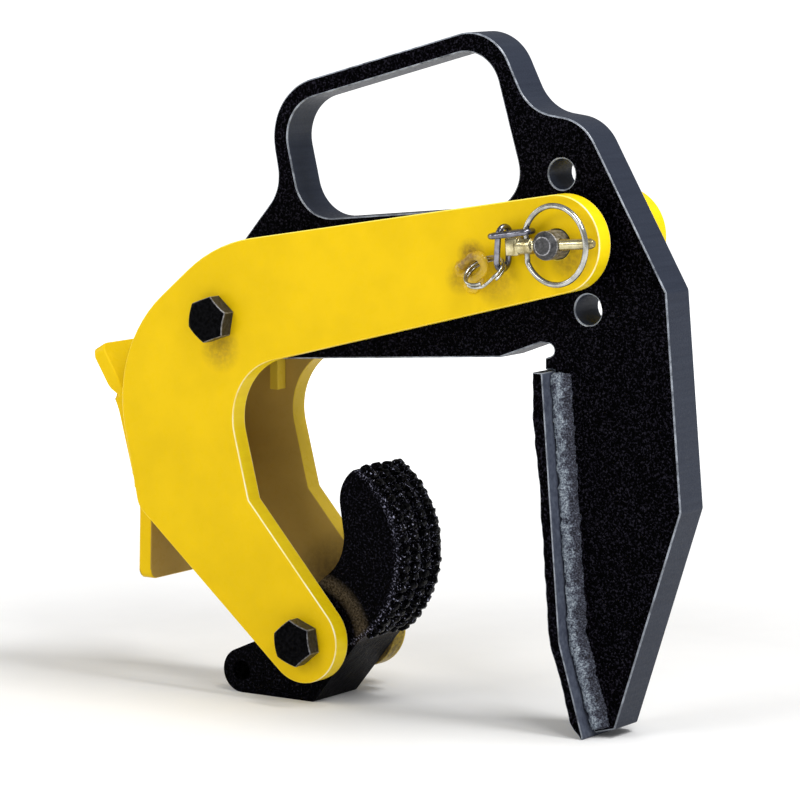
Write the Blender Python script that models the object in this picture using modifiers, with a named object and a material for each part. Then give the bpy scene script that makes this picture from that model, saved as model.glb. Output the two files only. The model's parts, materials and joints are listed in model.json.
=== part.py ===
"""Self-gripping lifting clamp for upright slabs and plates.

A black body plate carries a hand window, a row of adjusting holes and a long leg with the fixed
jaw pad. A pair of yellow arms straddles the plate, pivots on one bolt and is held by a locking
pin, and a toothed cam swings between the arms' lower ends.

The row frame is in metres: X runs from the cam side to the pad side, Y runs through the plates
(the locking pin's ring is at -Y) and Z is up. The origin is on the floor, under the centre.
Sizes below are in millimetres, measured from the pivot bolt's axis, until MM turns them.
"""

import math

import bmesh
import bpy
from mathutils import Matrix, Vector

MM = 0.001
GAP = 0.3

# Where the pivot bolt's axis stands in the row frame
PIVOT_X = -98.0
PIVOT_Z = 221.3

# Plates, all centred on Y = 0
BODY_THICK = 25.0
ARM_THICK = 12.0
ARM_SPACE = 48.0
ARM_INNER = ARM_SPACE / 2
ARM_OUTER = ARM_INNER + ARM_THICK
PAD_WIDTH = 50.0
CAM_THICK = 44.0

# Bolts, M16
BOLT_R = 8.0
BOLT_HOLE_R = 8.5
HEX_FLATS = 24.0
CROWN_WIDE = 0.62 * HEX_FLATS
CROWN_SHOULDER = 0.475 * HEX_FLATS
CROWN_SLOPE = math.radians(30.0)
HEAD_HIGH = 10.0
NUT_HIGH = 13.0
WASHER_R = 15.0
WASHER_THICK = 3.0
BUSH_R = 11.0
BUSH_HOLE_R = BUSH_R + GAP

# Adjusting holes on an arc about the pivot bolt
PIN_R = 8.0
PIN_HOLE_R = 8.5
ADJUST_RADIUS = 238.0
ADJUST_MIDDLE = math.radians(13.3)
ADJUST_STEP = math.radians(9.2)
PIN_X = ADJUST_RADIUS * math.cos(ADJUST_MIDDLE)
PIN_Z = ADJUST_RADIUS * math.sin(ADJUST_MIDDLE)

# Cam bolt, cam and its teeth
CAM_X = 59.8
CAM_Z = -183.2
FLOOR_Z = -PIVOT_Z
TOOTH_CENTRE = (59.5, -132.0)
TOOTH_TIP_R = 61.0
TOOTH_DEEP = 3.0
TOOTH_ROWS = 20
TOOTH_START = math.radians(-55.5)
TOOTH_PITCH = math.radians(5.7)
TAIL_X = 7.0
TAIL_R = 13.0
TAIL_Z = FLOOR_Z + TAIL_R
TAIL_EYE_R = 6.0

# Locking pin, linch pin and its ring, measured out from the front arm's face
PIN_REACH = 15.5
PIN_CHAMFER = 3.0
PIN_HEAD_R = 13.0
PIN_HEAD_THICK = 8.0
LINCH_OUT = 8.0
LINCH_R = 3.0
LINCH_TILT = math.radians(4.5)
LINCH_REACH = 28.5
HEAD_FROM = -26.0
HEAD_TO = -18.0
HEAD_DEEP = 9.0
HEAD_TALL = 10.0
COLLAR_R = 4.6
COLLAR_TO = -PIN_R - GAP
RING_WIRE = 1.6
RING_R = 21.5
RING_HINGE = -14.5
RING_ARC = 19.4
RING_REST = math.radians(6.9)
RING_LEG = 6.8
RING_HALF_TURN = math.radians(155.0)

# Turn of each bolt's hexagon about its own axis
PIVOT_SPIN = math.radians(19.4)
CAM_SPIN = math.radians(39.3)

# Tether: positions are (x, y, z) with y measured out from the front arm's face
EYE_X = 184.97
EYE_Z = 41.49
EYE_OUT = 8.6
EYE_BEND = 5.2
EYE_WIRE = 2.6
EYE_TILT = math.radians(34.6)
# How far each leg of the eye has run back, and the share of EYE_OUT it has sunk by there
EYE_LEG = ((5.0, 0.0), (9.0, 0.16), (13.0, 0.62), (15.0, 1.0))
SPLIT_AT = (192.92, -12.76, 38.41)
SPLIT_NORMAL = (-0.177, -0.81, 1.072)
SPLIT_R = 11.6
SPLIT_WIRE = 0.9
SPLIT_STEP = 2.2
SPLIT_START = 160.0
SPLIT_HINGE = (187.8, -ARM_OUTER - 8.6, 45.9)
LINK_WIRE = 1.75
LINK_SIDE = 5.2
LINK_HALF = 6.6
LOWER_AT = (201.60, -7.42, 51.62)
LOWER_LONG = (0.062, -0.004, 1.0)
LOWER_WIDE = (0.091, 1.0, 0.0)
LOWER_HINGE = (200.5, -ARM_OUTER - 5.6, 43.7)
UPPER_AT = (209.06, -10.79, 60.22)
UPPER_LONG = (1.0, 0.294, 0.154)
UPPER_WIDE = (0.0, 1.0, 0.045)
UPPER_HINGE = (216.3, -ARM_OUTER - 8.0, 62.7)

FINE = math.radians(5.0)

for old in list(bpy.data.objects):
    bpy.data.objects.remove(old, do_unlink=True)

PARTS = bpy.data.collections.new("lifting_clamp")
CUTTERS = bpy.data.collections.new("cutters")
bpy.context.scene.collection.children.link(PARTS)
bpy.context.scene.collection.children.link(CUTTERS)


def finish_material(name, colour, roughness, metallic):
    material = bpy.data.materials.new(name)
    material.use_nodes = True
    shader = material.node_tree.nodes["Principled BSDF"]
    shader.inputs["Base Color"].default_value = (*colour, 1.0)
    shader.inputs["Roughness"].default_value = roughness
    shader.inputs["Metallic"].default_value = metallic
    material.diffuse_color = (*colour, 1.0)
    return material


BLACK_PAINT = finish_material("black_paint", (0.012, 0.012, 0.015), 0.38, 0.0)
YELLOW_PAINT = finish_material("yellow_paint", (0.84, 0.58, 0.02), 0.3, 0.0)
WELD_STEEL = finish_material("weld_bead", (0.10, 0.11, 0.13), 0.6, 0.3)
CAST_BLACK = finish_material("cast_black", (0.01, 0.01, 0.012), 0.45, 0.0)
BLACK_OXIDE = finish_material("black_oxide", (0.02, 0.02, 0.022), 0.35, 0.6)
BARE_STEEL = finish_material("bare_steel", (0.32, 0.32, 0.33), 0.4, 0.9)
YELLOW_ZINC = finish_material("yellow_zinc", (0.68, 0.62, 0.42), 0.3, 0.9)
BRIGHT_STEEL = finish_material("bright_steel", (0.7, 0.7, 0.7), 0.2, 1.0)
DARK_STEEL = finish_material("dark_steel", (0.3, 0.3, 0.33), 0.3, 0.9)
BRONZE = finish_material("bronze", (0.45, 0.3, 0.12), 0.35, 0.9)


def place(x, y, z):
    """The row-frame point of a millimetre position measured from the pivot bolt's axis."""
    return Vector(((PIVOT_X + x) * MM, y * MM, (PIVOT_Z + z) * MM))


def add_node(name, data, material, origin=None):
    node = bpy.data.objects.new(name, data)
    PARTS.objects.link(node)
    if origin is not None:
        node.location = origin
    if material is not None:
        data.materials.clear()
        data.materials.append(material)
    return node


def mesh_from(bm, name):
    bmesh.ops.recalc_face_normals(bm, faces=bm.faces)
    mesh = bpy.data.meshes.new(name)
    bm.to_mesh(mesh)
    bm.free()
    mesh.shade_smooth()
    mesh.set_sharp_from_angle(angle=math.radians(30.0))
    return mesh


def as_mesh(node):
    """Turns a curve object into a mesh object of the same name, with its caps welded."""
    graph = bpy.context.evaluated_depsgraph_get()
    mesh = bpy.data.meshes.new_from_object(node.evaluated_get(graph))
    bm = bmesh.new()
    bm.from_mesh(mesh)
    bmesh.ops.remove_doubles(bm, verts=bm.verts, dist=0.00001)
    bmesh.ops.recalc_face_normals(bm, faces=bm.faces)
    bm.to_mesh(mesh)
    bm.free()
    name = node.name
    material = node.data.materials[0]
    matrix = node.matrix_world.copy()
    bpy.data.objects.remove(node, do_unlink=True)
    solid = add_node(name, mesh, material)
    solid.matrix_world = matrix
    return solid


def tangent_path(circles, step=FINE, closed=True):
    """A smooth line round a list of (x, z, radius), run anticlockwise.

    A positive radius turns left round its circle, a negative one turns right and 0 is a corner.
    The line between two circles is their common tangent.
    """
    count = len(circles)
    headings = []
    for i in range(count if closed else count - 1):
        ax, az, ar = circles[i]
        bx, bz, br = circles[(i + 1) % count]
        along = math.atan2(bz - az, bx - ax)
        headings.append(along - math.asin((br - ar) / math.hypot(bx - ax, bz - az)))
    points = []
    for i, (x, z, radius) in enumerate(circles):
        ends = not closed and i in (0, count - 1)
        came = headings[i - 1] if i or closed else headings[0]
        goes = headings[i] if i < len(headings) else headings[-1]
        if radius == 0 or ends:
            points.append((x, z))
            continue
        turn = (goes - came + math.pi) % (2 * math.pi) - math.pi
        if turn * radius < 0:
            turn += math.copysign(2 * math.pi, radius)
        pieces = max(1, math.ceil(abs(turn) / step))
        for k in range(pieces + 1):
            heading = came + turn * k / pieces
            points.append((x + radius * math.sin(heading), z - radius * math.cos(heading)))
    return points


def ring_points(x, z, radius, count=32):
    turn = 2 * math.pi / count
    return [(x + radius * math.cos(i * turn), z + radius * math.sin(i * turn)) for i in range(count)]


def plate(name, loops, thick, middle_y, material):
    """A flat plate from closed loops in the XZ plane; every loop after the first is a hole."""
    curve = bpy.data.curves.new(name, "CURVE")
    curve.dimensions = "2D"
    curve.fill_mode = "BOTH"
    curve.extrude = thick / 2 * MM
    for loop in loops:
        spline = curve.splines.new("POLY")
        spline.points.add(len(loop) - 1)
        for point, (x, z) in zip(spline.points, loop):
            point.co = ((PIVOT_X + x) * MM, (PIVOT_Z + z) * MM, 0.0, 1.0)
        spline.use_cyclic_u = True
    node = add_node(name, curve, material)
    node.matrix_world = Matrix.Translation((0, middle_y * MM, 0)) @ Matrix.Rotation(math.pi / 2, 4, "X")
    bpy.context.view_layer.update()
    return as_mesh(node)


def loft(name, near, near_y, far, far_y, material):
    """A solid between two outlines with the same number of points, at two depths."""
    bm = bmesh.new()
    front = [bm.verts.new(place(x, near_y, z)) for x, z in near]
    back = [bm.verts.new(place(x, far_y, z)) for x, z in far]
    for i in range(len(front)):
        j = (i + 1) % len(front)
        bm.faces.new((front[i], front[j], back[j], back[i]))
    for loop in (front, back):
        half = len(loop) // 2
        for i in range(half - 1):
            bm.faces.new((loop[i], loop[i + 1], loop[-i - 2], loop[-i - 1]))
    return add_node(name, mesh_from(bm, name), material)


def turned(name, profile, axis_point, direction, material, steps=32):
    """A turned piece: a closed (radius, distance) profile screwed round an axis.

    The profile runs down its outer side; distances run along the direction from axis_point.
    """
    mesh = bpy.data.meshes.new(name)
    corners = [(radius * MM, 0.0, along * MM) for radius, along in profile]
    hollow = all(radius > 0 for radius, along in profile)
    edges = [(i, i + 1) for i in range(len(corners) - 1)]
    if hollow:
        edges.append((len(corners) - 1, 0))
    mesh.from_pydata(corners, edges, [])
    node = add_node(name, mesh, material)
    turn = Vector((0, 0, 1)).rotation_difference(direction).to_matrix().to_4x4()
    node.matrix_world = Matrix.Translation(axis_point) @ turn
    screw = node.modifiers.new("turn", "SCREW")
    screw.steps = steps
    screw.render_steps = steps
    screw.use_merge_vertices = True
    screw.merge_threshold = 0.00001
    screw.use_smooth_shade = True
    return node


def ring_profile(inner, outer, low, high):
    """A sleeve or washer: outer side first, top to bottom."""
    return [(outer, high), (outer, low), (inner, low), (inner, high)]


def rod_profile(radius, low, high, chamfer=0.0):
    """A rod with chamfered ends, top to bottom."""
    if chamfer == 0:
        return [(0, high), (radius, high), (radius, low), (0, low)]
    shoulder = radius - chamfer
    return [
        (0, high),
        (shoulder, high),
        (radius, high - chamfer),
        (radius, low + chamfer),
        (shoulder, low),
        (0, low),
    ]


# ---------------------------------------------------------------- body plate and jaw pad

# The pad's back surface, top to bottom; the leg's inner edge follows it
PAD_TOP = (215.2, -18.2)
PAD_BEND = (227.4, -168.0)
PAD_TIP = (242.6, -219.2)
PAD_THICK = 7.0


def body_plate():
    lean = math.atan2(PAD_BEND[0] - PAD_TOP[0], PAD_TOP[1] - PAD_BEND[1])
    edge_top = PAD_TOP[0] + GAP / math.cos(lean)
    outer = tangent_path(
        [
            (0.0, 0.0, 26.0),
            (180.0, -13.0, 0.0),
            (206.5, -3.2, 0.0),
            (211.6, -7.0, -3.6),
            (209.6, -11.5, 0.0),
            (209.6, PAD_TOP[1] + GAP, 0.0),
            (edge_top, PAD_TOP[1] + GAP, 0.0),
            (PAD_BEND[0] + GAP, PAD_BEND[1], 0.0),
            (PAD_TIP[0] + GAP, PAD_TIP[1], 0.0),
            (254.5, -214.2, 2.0),
            (293.0, -90.5, 4.0),
            (282.8, 28.0, 4.0),
            (217.0, 95.5, 27.0),
            (216.4, 151.0, -28.0),
            (159.5, 139.5, 28.0),
            (60.0, 104.5, 35.3),
            (2.8, 82.0, -25.0),
        ]
    )
    window = tangent_path(
        [
            (64.0, 83.9, 24.5),
            (171.5, 90.8, 20.5),
            (157.0, 134.5, 22.0),
            (59.0, 104.8, 24.5),
        ]
    )
    holes = [ring_points(0, 0, BUSH_HOLE_R)]
    for step in (-1, 0, 1):
        angle = ADJUST_MIDDLE + step * ADJUST_STEP
        x = ADJUST_RADIUS * math.cos(angle)
        z = ADJUST_RADIUS * math.sin(angle)
        holes.append(ring_points(x, z, PIN_HOLE_R))
    return plate("body_plate", [outer, window, *holes], BODY_THICK, 0.0, BLACK_PAINT)


def jaw_pad():
    lean = math.atan2(PAD_BEND[0] - PAD_TOP[0], PAD_TOP[1] - PAD_BEND[1])
    outline = tangent_path(
        [
            (PAD_TOP[0] - PAD_THICK, PAD_TOP[1], 0.0),
            (PAD_BEND[0] - PAD_THICK / math.cos(lean), PAD_BEND[1] - 1.5, 0.0),
            (PAD_TIP[0] - PAD_THICK - 0.8, PAD_TIP[1] + 6.5, 0.0),
            (PAD_TIP[0] - 0.6, FLOOR_Z + 0.6, 0.6),
            (PAD_TIP[0], PAD_TIP[1], 0.0),
            (PAD_BEND[0], PAD_BEND[1], 0.0),
            (PAD_TOP[0], PAD_TOP[1], 0.0),
        ]
    )
    return plate("jaw_pad", [outline], PAD_WIDTH, 0.0, BLACK_PAINT)


def pad_weld(name, side):
    """The bead in the corner between the pad's back and one face of the body plate."""
    line = [
        (PAD_TOP[0], PAD_TOP[1] - 2.0),
        (PAD_BEND[0], PAD_BEND[1]),
        (PAD_TIP[0], PAD_TIP[1] + 2.5),
    ]

    def strip(width):
        inner = [(x + GAP + 0.4, z) for x, z in line]
        outer = [(x + width, z + 2.0) for x, z in reversed(line)]
        return inner + outer

    face = side * (BODY_THICK / 2 + GAP)
    crest = side * (BODY_THICK / 2 + 4.3)
    return loft(name, strip(2.6), crest, strip(11.5), face, WELD_STEEL)


# ---------------------------------------------------------------- arms

ARM_OUTLINE = [
    (CAM_X, CAM_Z, 24.5),
    (25.4, -103.0, -3.0),
    (48.9, -57.6, -37.0),
    (PIN_X, PIN_Z, 27.0),
    (40.0, -45.0, 94.0),
    (13.0, -52.0, 82.0),
    (-46.8, -108.0, 12.0),
]


def arm_plate(name, side):
    loops = [
        tangent_path(ARM_OUTLINE),
        ring_points(0, 0, BOLT_HOLE_R),
        ring_points(CAM_X, CAM_Z, BOLT_HOLE_R),
        ring_points(PIN_X, PIN_Z, PIN_HOLE_R),
    ]
    return plate(name, loops, ARM_THICK, side * (ARM_INNER + ARM_THICK / 2), YELLOW_PAINT)


STRAP_WIDE = ARM_SPACE - 2 * GAP
STRAP_THICK = 9.0
GUIDE_X = (1.0, 7.0)
GUIDE_Z = (-46.5, -19.0)
GUIDE_DEEP = 8.5


def chain_guide():
    """The bent strap behind the arms' back edges, flared at its top to lead the chain in."""
    outside = [
        (-102.0, -26.0, 0.0),
        (-124.1, -75.3, -45.0),
        (-86.2, -120.4, -20.0),
        (-67.2, -160.5, 0.0),
    ]
    inside = [
        (outside[0][0] + 7.8, outside[0][1] + 4.5, 0.0),
        (-124.1, -75.3, -45.0 - STRAP_THICK),
        (-86.2, -120.4, -20.0 - STRAP_THICK),
        (outside[-1][0] + STRAP_THICK, -160.5, 0.0),
    ]
    outline = tangent_path(outside, closed=False) + tangent_path(inside, closed=False)[::-1]
    strap = plate("chain_guide_strap", [outline], STRAP_WIDE, 0.0, YELLOW_PAINT)
    bm = bmesh.new()
    bm.from_mesh(strap.data)
    top = place(0, 0, -60).z
    foot = place(0, 0, -160).z
    corners = []
    for edge in bm.edges:
        a, b = [strap.matrix_world @ vert.co for vert in edge.verts]
        ends = min(a.z, b.z) > top or max(a.z, b.z) < foot
        if ends and abs(a.y - b.y) < 0.1 * MM and abs((a - b).length - STRAP_THICK * MM) < 0.3 * MM:
            corners.append(edge)
    bmesh.ops.bevel(bm, geom=corners, offset=6.0 * MM, segments=4, affect="EDGES", profile=0.5)
    bm.to_mesh(strap.data)
    bm.free()
    return strap


def box_node(name, low, high, material):
    """A square-edged block between two millimetre corners measured from the pivot bolt."""
    bm = bmesh.new()
    bmesh.ops.create_cube(bm, size=1.0)
    a = place(*low)
    b = place(*high)
    bmesh.ops.scale(bm, vec=b - a, verts=bm.verts)
    bmesh.ops.translate(bm, vec=(a + b) / 2, verts=bm.verts)
    return add_node(name, mesh_from(bm, name), material)


def guide_block(name, side):
    """A block on an arm's inner face that keeps the body plate central."""
    inner = side * (ARM_INNER - GAP)
    tip = side * (ARM_INNER - GUIDE_DEEP)
    low = (GUIDE_X[0], min(inner, tip), GUIDE_Z[0])
    high = (GUIDE_X[1], max(inner, tip), GUIDE_Z[1])
    return box_node(name, low, high, YELLOW_PAINT)


def strap_weld(name, side):
    """The bead that ties the strap's edge to an arm's back edge."""
    inner = [(-69.4, -60.0), (-68.4, -70.0), (-62.6, -104.0)]

    def strip(width):
        return inner + [(x - width, z - 1.0) for x, z in reversed(inner)]

    face = side * (STRAP_WIDE / 2 + GAP)
    crest = side * (STRAP_WIDE / 2 + 6.5)
    return loft(name, strip(6.5), face, strip(1.5), crest, YELLOW_PAINT)


# ---------------------------------------------------------------- bolts and their hardware

ALONG_Y = Vector((0, 1, 0))


def as_cutter(node):
    for collection in list(node.users_collection):
        collection.objects.unlink(node)
    CUTTERS.objects.link(node)
    node.hide_render = True
    node.display_type = "WIRE"
    return node


def combine(node, operation, tool):
    as_cutter(tool)
    modifier = node.modifiers.new(tool.name, "BOOLEAN")
    modifier.operation = operation
    modifier.solver = "EXACT"
    modifier.object = tool


def hex_prism(name, x, z, low, high, spin, hole=0.0):
    """A hexagon HEX_FLATS across, square to Y, with a round hole where one is asked for."""
    corner = HEX_FLATS / 2 / math.cos(math.pi / 6)
    turns = [spin + i * math.pi / 3 for i in range(6)]
    loops = [[(x + corner * math.cos(turn), z + corner * math.sin(turn)) for turn in turns]]
    if hole:
        loops.append(ring_points(x, z, hole))
    return plate(name, loops, high - low, (low + high) / 2, BLACK_OXIDE)


def crown(name, x, z, low, high, low_chamfer, high_chamfer):
    """The turned shape that rounds a hexagon's corners off."""
    drop = (CROWN_WIDE - CROWN_SHOULDER) * math.tan(CROWN_SLOPE)
    profile = [
        (0, high),
        (CROWN_SHOULDER if high_chamfer else CROWN_WIDE, high),
        (CROWN_WIDE, high - (drop if high_chamfer else 0.01)),
        (CROWN_WIDE, low + (drop if low_chamfer else 0.01)),
        (CROWN_SHOULDER if low_chamfer else CROWN_WIDE, low),
        (0, low),
    ]
    return turned(name, profile, place(x, 0, z), ALONG_Y, BLACK_OXIDE, 48)


def hex_bolt(name, x, z, spin):
    """A hex-head bolt along Y with its head against the front arm."""
    face = -ARM_OUTER - GAP
    top = face - HEAD_HIGH
    end = ARM_OUTER + WASHER_THICK + NUT_HIGH + 2 * GAP + 3.0
    head = hex_prism(name, x, z, top, face, spin)
    combine(head, "INTERSECT", crown(name + "_crown", x, z, top, face + 1.0, True, False))
    profile = rod_profile(BOLT_R, top + 2.0, end, 1.2)
    combine(head, "UNION", turned(name + "_shank", profile, place(x, 0, z), ALONG_Y, BLACK_OXIDE))
    return head


def hex_nut(name, x, z, low, spin):
    high = low + NUT_HIGH
    nut = hex_prism(name, x, z, low, high, spin, BOLT_R + GAP)
    combine(nut, "INTERSECT", crown(name + "_crown", x, z, low, high, True, True))
    return nut


def sleeve(name, x, z, inner, outer, low, high, material):
    return turned(name, ring_profile(inner, outer, low, high), place(x, 0, z), ALONG_Y, material)


def bolt_set(prefix, x, z, spin, inner_half, ring_names):
    """Bolt, rear washer and nut, the bush inside, and the rings between it and the arms."""
    hex_bolt(prefix + "_bolt", x, z, spin)
    face = ARM_OUTER + GAP
    sleeve(prefix + "_washer", x, z, BOLT_HOLE_R, WASHER_R, face, face + WASHER_THICK, BLACK_OXIDE)
    hex_nut(prefix + "_nut", x, z, face + WASHER_THICK + GAP, spin)
    sleeve(prefix + "_bush", x, z, BOLT_R + GAP, BUSH_R, -inner_half, inner_half, BRONZE)
    near = inner_half + GAP
    far = ARM_INNER - GAP
    sleeve(ring_names[0], x, z, BOLT_R + GAP, WASHER_R, -far, -near, BARE_STEEL)
    sleeve(ring_names[1], x, z, BOLT_R + GAP, WASHER_R, near, far, BARE_STEEL)


# ---------------------------------------------------------------- cam


def tooth_point(angle, radius):
    cx, cz = TOOTH_CENTRE
    return (cx + radius * math.cos(angle), cz + radius * math.sin(angle))


def tooth_arc():
    """The toothed face, run anticlockwise: a gap and a flat-topped tooth for each row."""
    root = TOOTH_TIP_R - TOOTH_DEEP
    points = []
    for row in range(TOOTH_ROWS):
        start = TOOTH_START + row * TOOTH_PITCH
        for share, radius in ((0.05, root), (0.3, root), (0.45, TOOTH_TIP_R), (0.9, TOOTH_TIP_R)):
            points.append(tooth_point(start + share * TOOTH_PITCH, radius))
    return points


def cam():
    toe = 1.5
    ends = TOOTH_START - math.radians(2.0), TOOTH_START + TOOTH_ROWS * TOOTH_PITCH
    outline = tangent_path(
        [
            (*tooth_point(ends[1], TOOTH_TIP_R), 0.0),
            (98.7, -101.0, 21.5),
            (52.0, -123.0, -28.0),
            (CAM_X, CAM_Z, 24.0),
            (21.0, -177.0, -10.0),
            (TAIL_X, TAIL_Z, TAIL_R),
            (57.5, FLOOR_Z + toe, toe),
            (*tooth_point(ends[0], TOOTH_TIP_R), 0.0),
        ],
        closed=False,
    )
    loops = [
        outline + tooth_arc(),
        ring_points(CAM_X, CAM_Z, BUSH_HOLE_R),
        ring_points(TAIL_X, TAIL_Z, TAIL_EYE_R, 24),
    ]
    return plate("cam", loops, CAM_THICK, 0.0, CAST_BLACK)


# ---------------------------------------------------------------- locking pin and linch pin

LINCH_Y = -ARM_OUTER - LINCH_OUT
LINCH_ALONG = Vector((math.cos(LINCH_TILT), 0, math.sin(LINCH_TILT)))
LINCH_UP = Vector((-math.sin(LINCH_TILT), 0, math.cos(LINCH_TILT)))
LINCH_AT = place(PIN_X, LINCH_Y, PIN_Z)


def locking_pin():
    front = -ARM_OUTER - PIN_REACH
    rear = ARM_OUTER + GAP
    profile = [
        (0, rear + PIN_HEAD_THICK),
        (PIN_HEAD_R - 1.5, rear + PIN_HEAD_THICK),
        (PIN_HEAD_R, rear + PIN_HEAD_THICK - 1.5),
        (PIN_HEAD_R, rear),
        (PIN_R, rear),
        (PIN_R, front + PIN_CHAMFER),
        (PIN_R - PIN_CHAMFER, front),
        (0, front),
    ]
    pin = turned("locking_pin", profile, place(PIN_X, 0, PIN_Z), ALONG_Y, BARE_STEEL)
    hole = rod_profile(LINCH_R + GAP, -PIN_R - 4.0, PIN_R + 4.0)
    combine(pin, "DIFFERENCE", turned("linch_hole", hole, LINCH_AT, LINCH_ALONG, BARE_STEEL, 24))
    return pin


def linch_pin():
    """The cross pin: a square head, a round collar with the ring's hole and a long shank."""
    profile = [
        (0, LINCH_REACH),
        (LINCH_R - 1.2, LINCH_REACH),
        (LINCH_R, LINCH_REACH - 2.0),
        (LINCH_R, COLLAR_TO - 1.5),
        (COLLAR_R, COLLAR_TO - 2.5),
        (COLLAR_R, HEAD_TO - 2.0),
        (0, HEAD_TO - 2.0),
    ]
    pin = turned("linch_pin", profile, LINCH_AT, LINCH_ALONG, YELLOW_ZINC, 24)
    bm = bmesh.new()
    bmesh.ops.create_cube(bm, size=1.0)
    size = Vector((HEAD_TO - HEAD_FROM, HEAD_DEEP, HEAD_TALL)) * MM
    bmesh.ops.scale(bm, vec=size, verts=bm.verts)
    bmesh.ops.bevel(bm, geom=list(bm.edges), offset=0.8 * MM, segments=2, affect="EDGES", profile=0.5)
    head = add_node("linch_head", mesh_from(bm, "linch_head"), YELLOW_ZINC)
    middle = LINCH_AT + LINCH_ALONG * ((HEAD_FROM + HEAD_TO) / 2 * MM)
    head.matrix_world = Matrix.Translation(middle) @ Matrix.Rotation(-LINCH_TILT, 4, "Y")
    combine(pin, "UNION", head)
    hole = rod_profile(RING_WIRE + GAP, -COLLAR_R - 2.0, COLLAR_R + 2.0)
    hinge = LINCH_AT + LINCH_ALONG * (RING_HINGE * MM)
    combine(pin, "DIFFERENCE", turned("ring_hole", hole, hinge, LINCH_UP, YELLOW_ZINC, 24))
    return pin


def wire_node(name, points, radius, material, origin=None, cyclic=False, sides=2):
    """A bent wire through row-frame points, with its origin where one is given."""
    curve = bpy.data.curves.new(name, "CURVE")
    curve.dimensions = "3D"
    curve.bevel_depth = radius * MM
    curve.bevel_resolution = sides
    curve.use_fill_caps = True
    spline = curve.splines.new("POLY")
    spline.points.add(len(points) - 1)
    base = origin if origin is not None else Vector((0, 0, 0))
    for point, where in zip(spline.points, points):
        point.co = (*(where - base), 1.0)
    spline.use_cyclic_u = cyclic
    return add_node(name, curve, material, base)


def linch_ring():
    """The round snap ring, hinged in the collar and resting on the shank's far end."""
    hinge = LINCH_AT + LINCH_ALONG * (RING_HINGE * MM)
    outward = Vector((0, -1, 0))
    across = LINCH_ALONG * math.cos(RING_REST) + outward * math.sin(RING_REST)
    points = [hinge + LINCH_UP * (2.0 * MM), hinge + LINCH_UP * (RING_LEG * MM)]
    pieces = 54
    for k in range(pieces + 1):
        angle = RING_HALF_TURN - 2 * RING_HALF_TURN * k / pieces
        away = across * (RING_ARC + RING_R * math.cos(angle))
        away += LINCH_UP * (RING_R * math.sin(angle))
        points.append(hinge + away * MM)
    points += [hinge - LINCH_UP * (RING_LEG * MM), hinge - LINCH_UP * (2.0 * MM)]
    return wire_node("linch_ring", points, RING_WIRE, BRIGHT_STEEL, hinge)


# ---------------------------------------------------------------- tether


def tether_eye():
    """A bent bar welded to the front arm by both its ends, with a free round nose."""
    along = Vector((math.cos(EYE_TILT), 0, math.sin(EYE_TILT)))
    up = Vector((-math.sin(EYE_TILT), 0, math.cos(EYE_TILT)))
    middle = place(EYE_X, -ARM_OUTER - EYE_OUT, EYE_Z)
    sink = Vector((0, EYE_OUT - GAP, 0))
    points = []
    for back, share in reversed(EYE_LEG):
        points.append(middle + (up * EYE_BEND - along * back + sink * share) * MM)
    pieces = 12
    for k in range(pieces + 1):
        angle = math.pi / 2 - math.pi * k / pieces
        points.append(middle + (along * math.cos(angle) + up * math.sin(angle)) * (EYE_BEND * MM))
    for back, share in EYE_LEG:
        points.append(middle + (-up * EYE_BEND - along * back + sink * share) * MM)
    eye = as_mesh(wire_node("tether_eye", points, EYE_WIRE, YELLOW_PAINT))
    front = box_node("arm_front_side", (100.0, -ARM_OUTER - GAP, 0.0), (240.0, 0.0, 90.0), YELLOW_PAINT)
    combine(eye, "DIFFERENCE", front)
    return eye


def chain_link(name, centre, long_way, wide_way, origin):
    """A welded oval link: two straight sides and two round ends."""
    long_way = Vector(long_way).normalized()
    wide_way = Vector(wide_way)
    wide_way = (wide_way - long_way * wide_way.dot(long_way)).normalized()
    middle = place(centre[0], -ARM_OUTER + centre[1], centre[2])
    points = []
    for end in (1, -1):
        for k in range(13):
            angle = math.pi * k / 12
            away = long_way * (LINK_HALF + LINK_SIDE * math.sin(angle))
            away += wide_way * (LINK_SIDE * math.cos(angle))
            points.append(middle + away * (end * MM))
    return wire_node(name, points, LINK_WIRE, DARK_STEEL, origin, cyclic=True)


def split_ring(origin):
    """A key ring: two flat turns side by side, joined by a short cross-over."""
    normal = Vector(SPLIT_NORMAL).normalized()
    first = normal.cross(Vector((0, 0, 1))).normalized()
    second = normal.cross(first)
    middle = place(SPLIT_AT[0], -ARM_OUTER + SPLIT_AT[1], SPLIT_AT[2])
    points = []
    for degrees in range(0, 681, 10):
        crossed = min(1.0, max(0.0, (degrees - 320) / 40))
        rise = SPLIT_STEP * (crossed - 0.5)
        angle = math.radians(SPLIT_START + degrees)
        away = first * (SPLIT_R * math.cos(angle)) + second * (SPLIT_R * math.sin(angle))
        points.append(middle + (away + normal * rise) * MM)
    return wire_node("split_ring", points, SPLIT_WIRE, BRIGHT_STEEL, origin)


# ---------------------------------------------------------------- the assembly

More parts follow.
